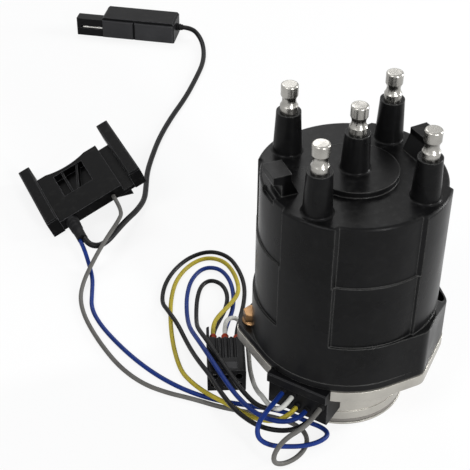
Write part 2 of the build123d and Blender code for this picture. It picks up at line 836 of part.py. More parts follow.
def rotor_arm():
    """Moulded rotor: a hub pushed on the shaft's flat and one arm with a stiffening web."""
    hub = rod(rotor_hub_radius, rotor_bottom, rotor_hub_top - rotor_bottom)
    arm_tip = rotor_reach - rotor_tip_overhang
    deck = block((-rotor_tail, arm_tip), (-rotor_arm_width / 2, rotor_arm_width / 2),
                 (rotor_deck_bottom, rotor_deck_top))
    deck = fillet(deck.edges().filter_by(Axis.Z), rotor_corner)
    body = hub + deck
    web = Polyline((rotor_hub_radius - 1, rotor_hub_top - rotor_web_depth), (rotor_hub_radius - 1, rotor_hub_top),
                   (arm_tip - 2, rotor_hub_top), close=True)
    body += extrude(make_face(Plane.XZ * web), rotor_web_width / 2, both=True)
    body -= rod(nose_radius, rotor_bottom, shaft_top - rotor_bottom)
    key = block((nose_radius - flat_depth, nose_radius + 0.5), (-nose_radius + 1, nose_radius - 1),
                (shaft_step + flat_start, shaft_top))
    return body + key


def rotor_contact():
    """Brass strip from the centre to the tip, with the leaf that the brush bears on."""
    strip = block((-leaf_radius, rotor_reach), (-strip_width / 2, strip_width / 2), (rotor_deck_top, strip_top))
    strip &= rod(rotor_reach, rotor_deck_top, strip_thickness)
    return strip + rod(leaf_radius, strip_top, leaf_thickness)


def carbon_brush():
    body = rod(brush_radius, brush_bottom, brush_length)
    return chamfer(body.edges().group_by(Axis.Z)[0], 0.4)


def brush_spring():
    """Compression spring between the brush and the centre terminal."""
    length = centre_roof - brush_top - 2 * spring_wire_radius
    path = Helix(length / spring_turns, length, spring_radius - spring_wire_radius)
    start = path @ 0
    section = Plane(origin=start, z_dir=path % 0) * Circle(spring_wire_radius)
    return Pos(0, 0, brush_top + spring_wire_radius) * sweep(section, path=path)


def inline_place():
    return Pos(inline_x, inline_y, 0) * Rot(0, 0, inline_azimuth)


def inline_way(column, row):
    """Sideways and height place of one cavity."""
    return column * inline_pitch, inline_rows[row]


def inline_ways():
    """Places of the cavities that hold a wire."""
    return [inline_way(*way) for way in inline_entries.values()]


def inline_strap(gap):
    """Outline of the secondary lock, or of its recess when given a gap."""
    half = lock_width / 2 + gap
    return block((lock_start - gap, lock_start + lock_length + gap), (-half, half),
                 (inline_height - lock_thickness, inline_height))


def inline_plug():
    """Fluted six-way connector body; local X runs from its mating face to the wires."""
    half = inline_width / 2
    body = block((0, inline_length), (-half, half), (0, inline_height))
    body -= block((inline_length - shroud_length, inline_length), (-half + shroud_wall, half - shroud_wall),
                  (shroud_wall, inline_height))
    body = fillet(body.edges().filter_by(Axis.X).filter_by(
        lambda edge: abs(abs(edge.center().Y) - half) < 0.01 and edge.center().Z > 1), 1.2)
    flute_start = lock_start + lock_length + flute_pitch
    for index in range(flute_count):
        offset = (index - (flute_count - 1) / 2) * flute_pitch
        body -= Pos(flute_start, offset, inline_height + flute_lift) * Rot(0, 90, 0) * Cylinder(
            flute_radius, inline_length - shroud_length - flute_start, align=UP)
    for offset, level in inline_ways() + [inline_way(*inline_spare_way)]:
        body -= Pos(0, offset, level) * Rot(0, 90, 0) * Cylinder(
            cavity_radius, inline_length - shroud_length, align=UP)
    body -= inline_strap(inline_fit)
    return inline_place() * body


def inline_seals():
    """Ribbed cable seals in the back of the connector."""
    seals = []
    for offset, level in inline_ways():
        body = Cylinder(seal_radius, seal_length, align=UP)
        for rib in (1.4, 3.4):
            body -= Pos(0, 0, rib) * ring(seal_radius + 1, seal_radius - 0.3, 0, 0.6)
        place = Pos(inline_length - shroud_length, offset, level) * Rot(0, 90, 0)
        seals.append(inline_place() * place * body)
    return seals


def inline_blank():
    """Solid plug in the cavity that carries no wire."""
    offset, level = inline_way(*inline_spare_way)
    body = Cylinder(seal_radius, seal_length - 1, align=UP)
    return inline_place() * Pos(inline_length - shroud_length, offset, level) * Rot(0, 90, 0) * body


def inline_terminals():
    pins = []
    for offset, level in inline_ways():
        pin = Pos(2, offset, level) * Rot(0, 90, 0) * Cylinder(cavity_radius - 0.4, inline_length - shroud_length - 2,
                                                               align=UP)
        pins.append(inline_place() * pin)
    return pins


def inline_lock():
    """Secondary lock that sits flush in the top of the connector."""
    return inline_place() * inline_strap(0)


def coil_place():
    rise = coil_bar_span / 2 * sin(radians(coil_plug_tilt)) + coil_bar_thickness * cos(radians(coil_plug_tilt))
    return Pos(coil_plug_x, coil_plug_y, rise) * Rot(0, 0, coil_plug_azimuth) * Rot(0, -coil_plug_tilt, 0)


def coil_nose_depth():
    """Depth below the bars at which the nose's outer edge meets the floor."""
    lift = (coil_nose_outer + coil_bar_span / 2) * tan(radians(coil_plug_tilt))
    return coil_bar_thickness + lift


def coil_plug():
    """H-shaped connector: two bars, a deck with a ribbed window, and the mating nose below."""
    half = coil_bar_span / 2
    body = None
    for side in (-1, 1):
        inner = side * (half - coil_bar_width)
        outer = side * half
        bar = block((min(inner, outer), max(inner, outer)), (coil_bar_front, coil_bar_rear), (-coil_bar_thickness, 0))
        bar = chamfer(bar.edges().group_by(Axis.Z)[-1], coil_bar_edge)
        body = bar if body is None else body + bar
    deck_top = -coil_deck_drop
    deck_bottom = deck_top - coil_deck_thickness
    deck = block((-half + coil_bar_width, half - coil_bar_width), (coil_deck_front, coil_deck_rear),
                 (deck_bottom, deck_top))
    deck -= block((coil_seam_offset, half - coil_bar_width), (coil_deck_front, coil_deck_rear),
                  (deck_top - coil_trough_drop, deck_top))
    scoop_centre = coil_deck_rear + coil_scoop_radius - coil_scoop_depth
    deck -= Pos(coil_window_x, scoop_centre, deck_bottom) * Cylinder(coil_scoop_radius, coil_deck_thickness, align=UP)
    body += deck
    nose = block((coil_nose_inner, coil_nose_outer), (coil_nose_front, coil_nose_rear),
                 (-coil_nose_depth(), deck_bottom))
    floor_slope = block((-coil_bar_span, coil_bar_span), (-coil_bar_span, coil_bar_span), (-coil_bar_span, 0))
    nose -= Pos(coil_nose_outer, 0, -coil_nose_depth()) * Rot(0, coil_plug_tilt, 0) * floor_slope
    body += nose
    window = block((coil_window_x - coil_window_width / 2, coil_window_x + coil_window_width / 2),
                   (coil_window_y - coil_window_length / 2, coil_window_y + coil_window_length / 2),
                   (deck_top - coil_window_depth, deck_top))
    body -= window
    rib = block((-coil_rib_width / 2, coil_rib_width / 2), (-coil_window_length, coil_window_length),
                (deck_top - coil_window_depth, deck_top - coil_rib_drop))
    for offset, azimuth in zip(coil_rib_offsets, coil_rib_azimuths):
        body += Pos(coil_window_x + offset, coil_window_y, 0) * Rot(0, 0, azimuth) * rib & window
    nose_middle = (coil_nose_front + coil_nose_rear) / 2
    for side in (-1, 1):
        offset = nose_middle + side * coil_slot_offset
        body -= block((coil_nose_inner + coil_slot_inset, coil_nose_outer - coil_slot_inset),
                      (offset - coil_slot_half_width, offset + coil_slot_half_width),
                      (-coil_nose_depth(), -coil_nose_depth() + coil_slot_depth))
    return coil_place() * body


def coil_boot():
    """Tapered sleeve where two wires leave the coil connector."""
    body = Cone(coil_boot_radius, coil_boot_radius * 0.8, coil_boot_length, align=UP)
    return coil_place() * Pos(coil_boot_x, coil_deck_front, -coil_wire_drop) * Rot(90, 0, 0) * body


def tach_place():
    return Pos(tach_x, tach_y, 0) * Rot(0, 0, tach_azimuth)


def tach_plug():
    """Single-way connector with a split front cover and a slotted tongue."""
    half = tach_length / 2
    body = block((-half, half), (0, tach_depth), (0, tach_height))
    body = chamfer(body.edges().filter_by(Axis.Y).group_by(Axis.Z)[-1], tach_edge)
    body += block((-half - tach_tongue_length, -half), (0, tach_tongue_depth), (0, tach_tongue_height))
    middle = tach_tongue_height / 2
    body -= block((-half - tach_tongue_length + tach_slot_wall, -half), (-1, tach_tongue_depth - tach_edge),
                  (middle - tach_slot_height / 2, middle + tach_slot_height / 2))
    return tach_place() * body


def tach_covers():
    """Two cover plates clipped on the front of the tachometer connector."""
    half = tach_length / 2
    plates = []
    for low, high in ((-half + 0.6, -tach_cover_gap / 2 - 2.5), (tach_cover_gap / 2 - 2.5, half - 0.6)):
        plate = block((low, high), (-tach_cover_depth, 0), (0.4, tach_cover_height))
        plate = fillet(plate.edges().group_by(Axis.Y)[0], 0.8)
        plates.append(tach_place() * plate)
    return plates


def tach_blade():
    half = tach_length / 2
    middle = tach_tongue_height / 2
    blade = block((-half - tach_tongue_length + 4, -half), (0.3, tach_blade_width),
                  (middle - tach_blade_thickness / 2, middle + tach_blade_thickness / 2))
    return tach_place() * blade


def tach_gland():
    half = tach_length / 2
    body = Cone(tach_gland_radius, tach_gland_radius * 0.75, tach_gland_length, align=UP)
    return tach_place() * Pos(half, tach_gland_y, tach_gland_level) * Rot(0, 90, 0) * body


def corner(place):
    """The point that a placement moves the origin to."""
    return place.position


def module_entry(name, run=0.0):
    offset, row = plug_entries[name]
    return corner(Rot(0, 0, plug_azimuth) * Pos(plug_face + boot_length + run, offset, plug_rows[row]))


def inline_exit(name):
    offset, level = inline_way(*inline_entries[name])
    return corner(inline_place() * Pos(inline_length - shroud_length + seal_length, offset, level))


def coil_exit(offset, reach=0.0):
    return corner(coil_place() * Pos(offset, coil_deck_front - reach, -coil_wire_drop))


def tach_exit():
    return corner(tach_place() * Pos(tach_length / 2 + tach_gland_length, tach_gland_y, tach_gland_level))


def cord(start, route, end, diameter):
    """Tube along straight runs with an arc at each corner."""
    floor = diameter / 2 + wire_rest
    points = [start]
    points += [Vector(*point) if len(point) == 3 else Vector(*point, floor) for point in route]
    points.append(end)
    radii = []
    for before, here, after in zip(points, points[1:], points[2:]):
        half_turn = radians((here - before).get_angle(after - here)) / 2
        shorter = min((here - before).length, (after - here).length)
        radii.append(0.45 * shorter / tan(half_turn))
    path = FilletPolyline(*points, radius=radii)
    section = Plane(origin=start, z_dir=points[1] - start) * Circle(diameter / 2)
    print("cord length", round(path.length, 1), "tightest bend", round(min(radii), 1))
    return sweep(section, path=path)


def module_cord(name, start, route):
    """A wire that ends in the module plug, square to its face."""
    return cord(start, route + [tuple(module_entry(name, entry_run))], module_entry(name), wire_diameter)


def wires():
    """The eight wires by name."""
    pieces = {}
    inline_routes = {
        "yellow_wire": yellow_route,
        "outer_black_wire": outer_black_route,
        "blue_wire": blue_route,
        "inner_black_wire": inner_black_route,
        "white_wire": white_route,
    }
    for name, route in inline_routes.items():
        pieces[name] = module_cord(name, inline_exit(name), route)
    tach_side, blue_side = [coil_boot_x + offset for offset in coil_boot_pair]
    pieces["coil_blue_wire"] = module_cord("coil_blue_wire", coil_exit(blue_side, coil_boot_length), coil_blue_route)
    pieces["coil_grey_wire"] = module_cord("coil_grey_wire", coil_exit(coil_grey_x), coil_grey_route)
    pieces["tach_wire"] = cord(tach_exit(), tach_route, coil_exit(tach_side, coil_boot_length),
                               tach_wire_diameter)
    return pieces


def nodes():
    """Every piece by its node name."""
    pieces = {
        "housing": housing(),
        "pilot_ring": pilot_ring(),
        "lower_bushing": lower_bushing(),
        "upper_bushing": upper_bushing(),
        "shaft_seal": shaft_seal(),
        "cap_gasket": cap_gasket(),
        "pickup_plate": pickup_plate(),
        "pickup_coil": pickup_coil(),
        "pickup_winding": pickup_winding(),
        "pickup_magnet": pickup_magnet(),
        "pole_piece": pole_piece(),
        "pickup_clip": pickup_clip(),
        "ignition_module": ignition_module(),
        "module_screws": module_screws(),
        "module_terminals": module_terminals(),
        "module_plug": module_plug(),
        "wire_boots": wire_boots(),
        "cap": cap(),
        "cap_screws": cap_screws(),
        "centre_terminal": post(centre_tower_top, centre_roof),
        "shaft": shaft(),
        "drive_coupling": drive_coupling(),
        "drive_pin": drive_pin(),
        "lower_washer": lower_washer(),
        "upper_washer": upper_washer(),
        "timer_core": timer_core(),
        "rotor_arm": rotor_arm(),
        "rotor_contact": rotor_contact(),
        "carbon_brush": carbon_brush(),
        "brush_spring": brush_spring(),
        "inline_plug": inline_plug(),
        "inline_seals": inline_seals(),
        "inline_blank": inline_blank(),
        "inline_terminals": inline_terminals(),
        "inline_lock": inline_lock(),
        "coil_plug": coil_plug(),
        "coil_boot": coil_boot(),
        "tach_plug": tach_plug(),
        "tach_covers": tach_covers(),
        "tach_blade": tach_blade(),
        "tach_gland": tach_gland(),
    }
    for name, azimuth in zip(tower_names, tower_azimuths()):
        pieces["terminal_" + name] = polar(tower_circle_radius, azimuth) * post(tower_top, stem_bottom)
    pieces.update(wires())
    return pieces


os.makedirs("parts", exist_ok=True)
for name, piece in nodes().items():
    if isinstance(piece, list):
        piece = Compound(children=[solid for member in piece for solid in member.solids()])
    export_step(piece, os.path.join("parts", name + ".step"))
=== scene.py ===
from math import cos, pi, radians, sin

import bpy
from mathutils import Matrix, Vector


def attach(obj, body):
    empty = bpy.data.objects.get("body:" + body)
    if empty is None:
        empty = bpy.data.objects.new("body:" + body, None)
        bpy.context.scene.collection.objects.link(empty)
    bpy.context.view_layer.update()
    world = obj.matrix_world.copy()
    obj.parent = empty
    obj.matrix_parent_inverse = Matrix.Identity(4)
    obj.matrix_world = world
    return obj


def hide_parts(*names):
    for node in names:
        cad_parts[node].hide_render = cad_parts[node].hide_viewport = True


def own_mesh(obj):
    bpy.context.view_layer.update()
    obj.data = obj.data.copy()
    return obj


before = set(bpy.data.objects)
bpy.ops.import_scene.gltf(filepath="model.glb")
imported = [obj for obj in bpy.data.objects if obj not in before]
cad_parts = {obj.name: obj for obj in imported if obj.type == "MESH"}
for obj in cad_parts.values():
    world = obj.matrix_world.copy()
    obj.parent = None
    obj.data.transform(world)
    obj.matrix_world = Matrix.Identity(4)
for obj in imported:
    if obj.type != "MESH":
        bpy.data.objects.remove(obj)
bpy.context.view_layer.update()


# Camera
# A long lens looks down on the lead posts from the front left, and leans a little to
# one side, as a camera held in the hand does.
camera_place = (-0.136989, -0.366614, 0.377324)
camera_turn = radians(-13.662)
camera_downwards = radians(37.426)
camera_lean = radians(0.6905)
camera_data = bpy.data.cameras.new("camera")
camera_data.lens = 91.915
camera_data.sensor_width = 36.0
camera_data.clip_end = 20.0
camera = bpy.data.objects.new("camera", camera_data)
bpy.context.scene.collection.objects.link(camera)
camera.matrix_world = (
    Matrix.Translation(camera_place)
    @ Matrix.Rotation(camera_turn, 4, "Z")
    @ Matrix.Rotation(pi / 2 - camera_downwards, 4, "X")
    @ Matrix.Rotation(camera_lean, 4, "Z")
)
bpy.context.scene.camera = camera
bpy.context.scene.view_settings.view_transform = "Standard"


# Table and light
# The part lies on a matt white table that runs back without a corner. The lamps are
# large panes of frosted plastic, so highlights are broad and shadows are soft.
class Field:
    """A socket of a finish. Arithmetic on it adds Math nodes."""

    def __init__(self, tree, socket):
        self.tree = tree
        self.socket = socket

    def node(self, kind, settings, inputs, output=0):
        made = self.tree.nodes.new("ShaderNode" + kind)
        for name, value in settings.items():
            setattr(made, name, value)
        for name, value in inputs.items():
            if isinstance(value, Field):
                self.tree.links.new(value.socket, made.inputs[name])
            else:
                made.inputs[name].default_value = value
        return Field(self.tree, made.outputs[output])

    def maths(self, operation, first, second=0.0):
        return self.node("Math", {"operation": operation}, {0: first, 1: second})

    def white_share(self):
        """1 for what the camera, a mirror or glass sees, and 0 for the light that falls."""
        total = self.node("LightPath", {}, {}, "Is Camera Ray")
        for kind in ("Is Glossy Ray", "Is Transmission Ray"):
            total = total + self.node("LightPath", {}, {}, kind)
        return self.maths("MINIMUM", total, 1.0)

    def __add__(self, other):
        return self.maths("ADD", self, other)

    def __rsub__(self, other):
        return self.maths("SUBTRACT", other, self)

    def __mul__(self, other):
        return self.maths("MULTIPLY", self, other)

    def __pow__(self, other):
        return self.maths("POWER", self, other)


table_width = 12.0
table_colour = (0.86, 0.86, 0.86, 1.0)
table_glow = 0.85
plain_white = (1, 1, 1, 1)
sky_colour = (0.92, 0.95, 1.0, 1.0)
sky_strength = 0.22
bpy.ops.mesh.primitive_plane_add(size=table_width)
table = bpy.context.object
table.name = "table"
white_table = bpy.data.materials.new("white_table")
white_table.use_nodes = True
table.data.materials.append(white_table)
top = Field(white_table.node_tree, None)
matt = top.node("BsdfDiffuse", {}, {"Color": table_colour})
light = top.node("Emission", {}, {"Color": plain_white, "Strength": 1.0})
surface = top.node("MixShader", {}, {0: top.white_share() * table_glow, 1: matt, 2: light})
table_output = white_table.node_tree.nodes["Material Output"]
white_table.node_tree.links.new(surface.socket, table_output.inputs["Surface"])

world = bpy.data.worlds.new("white_room")
bpy.context.scene.world = world
world.use_nodes = True
room = Field(world.node_tree, None)
room_light = room.node("Background", {}, {"Color": sky_colour, "Strength": sky_strength})
room_white = room.node("Background", {}, {"Color": plain_white, "Strength": 1.0})
around = room.node("MixShader", {}, {0: room.white_share(), 1: room_light, 2: room_white})
world.node_tree.links.new(around.socket, world.node_tree.nodes["World Output"].inputs["Surface"])

# Each pane: its place, what it faces, its width and height, and its power
panes = {
    "key_pane": ((-0.9, -0.55, 1.1), (0, 0, 0.08), 0.6, 0.6, 9.0),
    "front_strip": ((0.3, -0.95, 0.4), (0, 0, 0.07), 0.1, 0.6, 9.0),
    "right_strip": ((0.95, 0.1, 0.36), (0, 0, 0.07), 0.1, 0.6, 9.0),
    "rear_pane": ((-0.1, 1.0, 1.0), (0, 0.05, 0.08), 1.0, 0.4, 6.0),
}
for name, (place, target, width, height, power) in panes.items():
    lamp_data = bpy.data.lights.new(name, "AREA")
    lamp_data.shape = "RECTANGLE"
    lamp_data.size = width
    lamp_data.size_y = height
    lamp_data.energy = power
    lamp = bpy.data.objects.new(name, lamp_data)
    bpy.context.scene.collection.objects.link(lamp)
    lamp.location = place
    lamp.visible_camera = False
    aim = Vector(target) - lamp.location
    lamp.rotation_euler = aim.to_track_quat("-Z", "Y").to_euler()


# Wires
# Stranded copper in soft PVC, limp enough to lie on the table in the loops that the
# loom took in its box. Points without a height lie on the table.
def start_finish(name):
    """A new finish and its Object coordinates."""
    finish = bpy.data.materials.new(name)
    finish.use_nodes = True
    return finish, Field(finish.node_tree, None).node("TexCoord", {}, {}, "Object")


def set_shader(finish, **values):
    """Sets or links sockets of the finish's shader; an underscore stands for a space."""
    shader = finish.node_tree.nodes["Principled BSDF"]
    for name, value in values.items():
        socket = shader.inputs[name.replace("_", " ")]
        if isinstance(value, Field):
            finish.node_tree.links.new(value.socket, socket)
        else:
            socket.default_value = value


def grain(place, size, detail=2.0):
    """Soft noise from 0 to 1 in blobs of about this size in metres."""
    return place.node("TexNoise", {}, {"Vector": place, "Scale": 1 / size, "Detail": detail})


def between(field, low, high, start=0.0, end=1.0):
    """The field's range from low to high, as start to end."""
    return field.node("MapRange", {}, {0: field, 1: low, 2: high, 3: start, 4: end})


def tint(amount, first, second):
    """A colour between two, each a colour or a field."""
    return amount.node("Mix", {"data_type": "RGBA"}, {0: amount, 6: first, 7: second}, 2)


def shade(colour, share):
    """A darker or lighter copy of a colour."""
    return tuple(min(1.0, channel * share) for channel in colour[:3]) + (1.0,)


def relief(height, depth, over=None):
    """Small relief of this depth in metres, on top of the normals in over."""
    inputs = {"Height": height, "Distance": depth, "Strength": 1.0}
    if over is not None:
        inputs["Normal"] = over
    return height.node("Bump", {}, inputs)


def insulation(name, colour, gloss):
    """Extruded PVC: faint dents from the loom, dust, and a waxy sheen."""
    finish, place = start_finish(name)
    dust = between(grain(place, 0.006, 4.0), 0.45, 0.75, 0.0, 0.35)
    mottle = tint(between(grain(place, 0.018), 0.3, 0.7), shade(colour, 0.8), shade(colour, 1.12))
    dents = relief(grain(place, 0.0012, 3.0), 0.00006)
    set_shader(finish, Base_Color=tint(dust, mottle, shade(colour, 0.62)),
               Roughness=between(grain(place, 0.003), 0.3, 0.7, gloss, gloss + 0.16),
               Specular_IOR_Level=0.12, Normal=dents)
    return finish


yellow_route = [
    (-0.02774, -0.0284, 0.0156), (-0.03054, -0.03126, 0.0156), (-0.037, -0.0318, 0.013),
    (-0.044, -0.025, 0.009), (-0.0495, -0.0155, 0.0065), (-0.055, -0.0065, 0.0044),
    (-0.0605, 0.0005, 0.0037), (-0.065, 0.008, 0.0037), (-0.0675, 0.018), (-0.068, 0.03),
    (-0.0673, 0.042), (-0.0655, 0.055), (-0.0625, 0.069), (-0.0575, 0.082), (-0.049, 0.092),
    (-0.0395, 0.0963), (-0.0315, 0.092), (-0.0285, 0.0825), (-0.0284, 0.0715),
    (-0.031, 0.062, 0.0032), (-0.0375, 0.0535, 0.0044), (-0.045, 0.0445, 0.0068),
    (-0.049, 0.03662, 0.0084), (-0.05015, 0.03073, 0.0084),
]
outer_black_route = [
    (-0.02145, -0.03456, 0.0156), (-0.02425, -0.03741, 0.0156), (-0.0335, -0.041, 0.0156),
    (-0.0445, -0.0365, 0.0154), (-0.052, -0.0255, 0.015), (-0.056, -0.0125, 0.0146),
    (-0.0582, 0, 0.014), (-0.0606, 0.012, 0.0115), (-0.0614, 0.024, 0.007),
    (-0.062, 0.036, 0.0034), (-0.0635, 0.0475, 0.0037), (-0.0663, 0.058, 0.0037), (-0.0675, 0.067),
    (-0.064, 0.079), (-0.057, 0.09), (-0.047, 0.0985), (-0.036, 0.101), (-0.028, 0.0945),
    (-0.0255, 0.083), (-0.0255, 0.071), (-0.0285, 0.059), (-0.034, 0.046),
    (-0.0384, 0.03456, 0.0034), (-0.03955, 0.02867, 0.0034),
]
blue_route = [
    (-0.0246, -0.03148, 0.0156), (-0.0274, -0.03434, 0.0156), (-0.0355, -0.0356, 0.0156),
    (-0.044, -0.0295, 0.0154), (-0.0499, -0.0168, 0.015), (-0.053, -0.0035, 0.0144),
    (-0.0556, 0.01, 0.0139), (-0.0582, 0.023, 0.0132), (-0.0593, 0.0355, 0.009),
    (-0.0585, 0.047, 0.0035), (-0.057, 0.0585), (-0.0545, 0.07), (-0.05, 0.081), (-0.0425, 0.0885),
    (-0.035, 0.0865), (-0.0318, 0.078), (-0.032, 0.067), (-0.035, 0.0545), (-0.0405, 0.0445),
    (-0.0437, 0.03559, 0.0034), (-0.04485, 0.0297, 0.0034),
]
inner_black_route = [
    (-0.03088, -0.02532, 0.0156), (-0.03368, -0.02818, 0.0156), (-0.0425, -0.0245, 0.015),
    (-0.0468, -0.014, 0.0148), (-0.0496, -0.002, 0.0144), (-0.0522, 0.0105, 0.014),
    (-0.055, 0.0235, 0.0136), (-0.056, 0.035, 0.0096), (-0.0548, 0.0455, 0.0035), (-0.0528, 0.056),
    (-0.0503, 0.066), (-0.0465, 0.075), (-0.041, 0.0785), (-0.036, 0.074), (-0.0352, 0.065),
    (-0.0387, 0.055), (-0.045, 0.0455), (-0.049, 0.03662, 0.0034), (-0.05015, 0.03073, 0.0034),
]
white_route = [
    (-0.02931, -0.02686, 0.0206), (-0.03211, -0.02972, 0.0206), (-0.0358, -0.0313, 0.019),
    (-0.0388, -0.0275, 0.018), (-0.04, -0.021, 0.017), (-0.0388, -0.0145, 0.0116),
    (-0.0383, -0.007, 0.006), (-0.038, 0.002, 0.002), (-0.0373, 0.012), (-0.0356, 0.021),
    (-0.034, 0.03), (-0.0332, 0.038, 0.0036), (-0.0363, 0.0426, 0.0064), (-0.041, 0.041, 0.008),
    (-0.0437, 0.03559, 0.0084), (-0.04485, 0.0297, 0.0084),
]
coil_blue_route = [
    (-0.0326, -0.02364, 0.0206), (-0.0354, -0.0265, 0.0206), (-0.0415, -0.033, 0.0216),
    (-0.047, -0.0384, 0.02), (-0.0474, -0.0414, 0.015), (-0.0418, -0.042, 0.0102),
    (-0.034, -0.0408, 0.0066), (-0.027, -0.0398, 0.0042), (-0.0195, -0.0375, 0.0024),
    (-0.014, -0.0335), (-0.015, -0.029), (-0.021, -0.0238), (-0.027, -0.0175), (-0.0345, -0.013),
    (-0.045, -0.0082), (-0.0565, -0.0028), (-0.0675, 0.0055), (-0.0775, 0.0165), (-0.086, 0.0295),
    (-0.093, 0.0435), (-0.0985, 0.0575), (-0.101, 0.07), (-0.099, 0.0815), (-0.0972, 0.092),
    (-0.0978, 0.101, 0.004), (-0.09912, 0.10883, 0.0086), (-0.10009, 0.11374, 0.00861),
]
coil_grey_route = [
    (-0.01988, -0.0361, 0.0206), (-0.02268, -0.03895, 0.0206), (-0.029, -0.0444, 0.0204),
    (-0.037, -0.0456, 0.0172), (-0.042, -0.0472, 0.0115), (-0.042, -0.0475, 0.0055),
    (-0.0365, -0.0458, 0.0022), (-0.0293, -0.042), (-0.0239, -0.036), (-0.0234, -0.0288),
    (-0.0277, -0.0226), (-0.035, -0.0176), (-0.045, -0.0126), (-0.0555, -0.0072), (-0.066, 0.0003),
    (-0.0765, 0.0065), (-0.086, 0.0145), (-0.094, 0.027), (-0.0995, 0.042), (-0.1035, 0.057),
    (-0.1053, 0.069), (-0.105, 0.08), (-0.102, 0.089, 0.0026), (-0.0975, 0.096, 0.0056),
    (-0.0925, 0.102, 0.0095), (-0.086, 0.1085, 0.0142), (-0.0803, 0.1145, 0.0172),
    (-0.0769, 0.121, 0.01837), (-0.07964, 0.13481, 0.01836),
]
tach_route = [
    (-0.09773, 0.11421, 0.00958), (-0.09666, 0.10881, 0.00958), (-0.0917, 0.106, 0.00958),
    (-0.0865, 0.11, 0.0092), (-0.081, 0.1185, 0.0082), (-0.0745, 0.1285, 0.0066),
    (-0.067, 0.139, 0.0044), (-0.0612, 0.1505, 0.0024), (-0.0583, 0.163), (-0.0555, 0.176),
    (-0.0505, 0.19), (-0.0425, 0.2095), (-0.0315, 0.23), (-0.019, 0.25), (-0.008, 0.2715),
    (0.0006, 0.29), (0.0048, 0.308), (0.0046, 0.3185, 0.0042), (0.00103, 0.32654, 0.007),
    (-0.00463, 0.32901, 0.007),
]
wire_thickness = 0.0021
tach_thickness = 0.003
gap_over_table = 0.0001
yellow_pvc = insulation("yellow_insulation", (0.42, 0.34, 0.035, 1.0), 0.36)
blue_pvc = insulation("blue_insulation", (0.007, 0.027, 0.165, 1.0), 0.32)
black_pvc = insulation("black_insulation", (0.004, 0.004, 0.0045, 1.0), 0.32)
grey_pvc = insulation("grey_insulation", (0.11, 0.107, 0.1, 1.0), 0.38)
white_pvc = insulation("white_insulation", (0.5, 0.5, 0.47, 1.0), 0.4)

# Each wire: its route, thickness, finish, the record's slot and its length
wires = {
    "yellow_wire": (yellow_route, wire_thickness, yellow_pvc, "wire_yellow", 0.2361),
    "outer_black_wire": (outer_black_route, wire_thickness, black_pvc, "wire_black", 0.2613),
    "blue_wire": (blue_route, wire_thickness, blue_pvc, "wire_blue", 0.2147),
    "inner_black_wire": (inner_black_route, wire_thickness, black_pvc, "wire_black", 0.1762),
    "white_wire": (white_route, wire_thickness, white_pvc, "wire_white", 0.1058),
    "coil_blue_wire": (coil_blue_route, wire_thickness, blue_pvc, "wire_blue", 0.2507),
    "coil_grey_wire": (coil_grey_route, wire_thickness, grey_pvc, "wire_grey", 0.2765),
    "tach_wire": (tach_route, tach_thickness, black_pvc, "wire_black", 0.2626),
}
for name, (route, thickness, finish, slot, length) in wires.items():
    line = bpy.data.curves.new(name + "_line", "CURVE")
    line.dimensions = "3D"
    line.bevel_depth = thickness / 2
    line.bevel_resolution = 5
    line.use_fill_caps = True
    strand = line.splines.new("NURBS")
    strand.points.add(len(route) - 1)
    for point, place in zip(strand.points, route):
        level = place[2] if len(place) == 3 else thickness / 2 + gap_over_table
        point.co = (place[0], place[1], level, 1.0)
    strand.order_u = 3
    strand.use_endpoint_u = True
    strand.resolution_u = 8
    wire = bpy.data.objects.new(name + "_insulation", line)
    bpy.context.scene.collection.objects.link(wire)
    line.materials.append(finish)
    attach(wire, "distributor")
    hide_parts(name)


# Housing
# A light alloy casting, sand-grained where the mould left it and turned bright on the
# pilot, the neck and the flange faces.
def dress(node, finish):
    """Gives a node of the part its finish."""
    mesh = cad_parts[node].data
    mesh.materials.clear()
    mesh.materials.append(finish)


def rounded(place, radius):
    """Normals of edges that are broken to about this radius."""
    return place.node("Bevel", {"samples": 4}, {"Radius": radius}, "Normal")


def rubbed_and_highlit(place, radius, contrast):
    """1 on corners and edges, where handling rubs the surface and a painted edge highlight goes,
    and 0 on faces.
    """
    soft = rounded(place, radius)
    hard = place.node("NewGeometry", {}, {}, "Normal")
    match = place.node("VectorMath", {"operation": "DOT_PRODUCT"}, {0: soft, 1: hard}, "Value")
    return between((1.0 - match) * contrast, 0.02, 0.6)


def around_shaft(place):
    """Radius from the shaft, and height, of each point."""
    x = place.node("SeparateXYZ", {}, {0: place}, 0)
    y = place.node("SeparateXYZ", {}, {0: place}, 1)
    z = place.node("SeparateXYZ", {}, {0: place}, 2)
    return (x * x + y * y) ** 0.5, z


full_circle = 6.283
groove_share = 0.16


def turned(place, pitch):
    """Fine grooves that a lathe tool leaves, from -1 to 1."""
    radius, level = around_shaft(place)
    wander = grain(place, 0.004) * 0.6
    phase = (radius + level) * (full_circle / pitch) + wander
    return phase.maths("SINE", phase)


def alloy(name, colour, cast_share):
    """Light alloy with cast skin where cast_share is 1 and turned faces where it is 0."""
    finish, place = start_finish(name)
    skin = grain(place, 0.0009, 4.0)
    blotch = between(grain(place, 0.012, 3.0), 0.3, 0.7)
    lathe = turned(place, 0.00034)
    height = skin * cast_share + lathe * (groove_share * (1 - cast_share))
    base = tint(blotch, shade(colour, 0.86), shade(colour, 1.08))
    # Edges are lightened: handling wear and a painted edge highlight.
    set_shader(finish, Base_Color=tint(rubbed_and_highlit(place, 0.0005, 2.0), base, shade(colour, 1.3)),
               Metallic=0.9, Roughness=between(skin, 0.3, 0.7, 0.34, 0.52),
               Normal=relief(height, 0.00007, rounded(place, 0.0004)))
    return finish


dress("housing", alloy("turned_alloy", (0.4, 0.385, 0.35, 1.0), 0.45))


# Sealing ring and shaft seal
# Moulded rubber. The ring is worn grey and lies flush in the pilot's groove, and the
# seal closes the bearing from below.
bloom_grey = (0.16, 0.155, 0.145, 1.0)


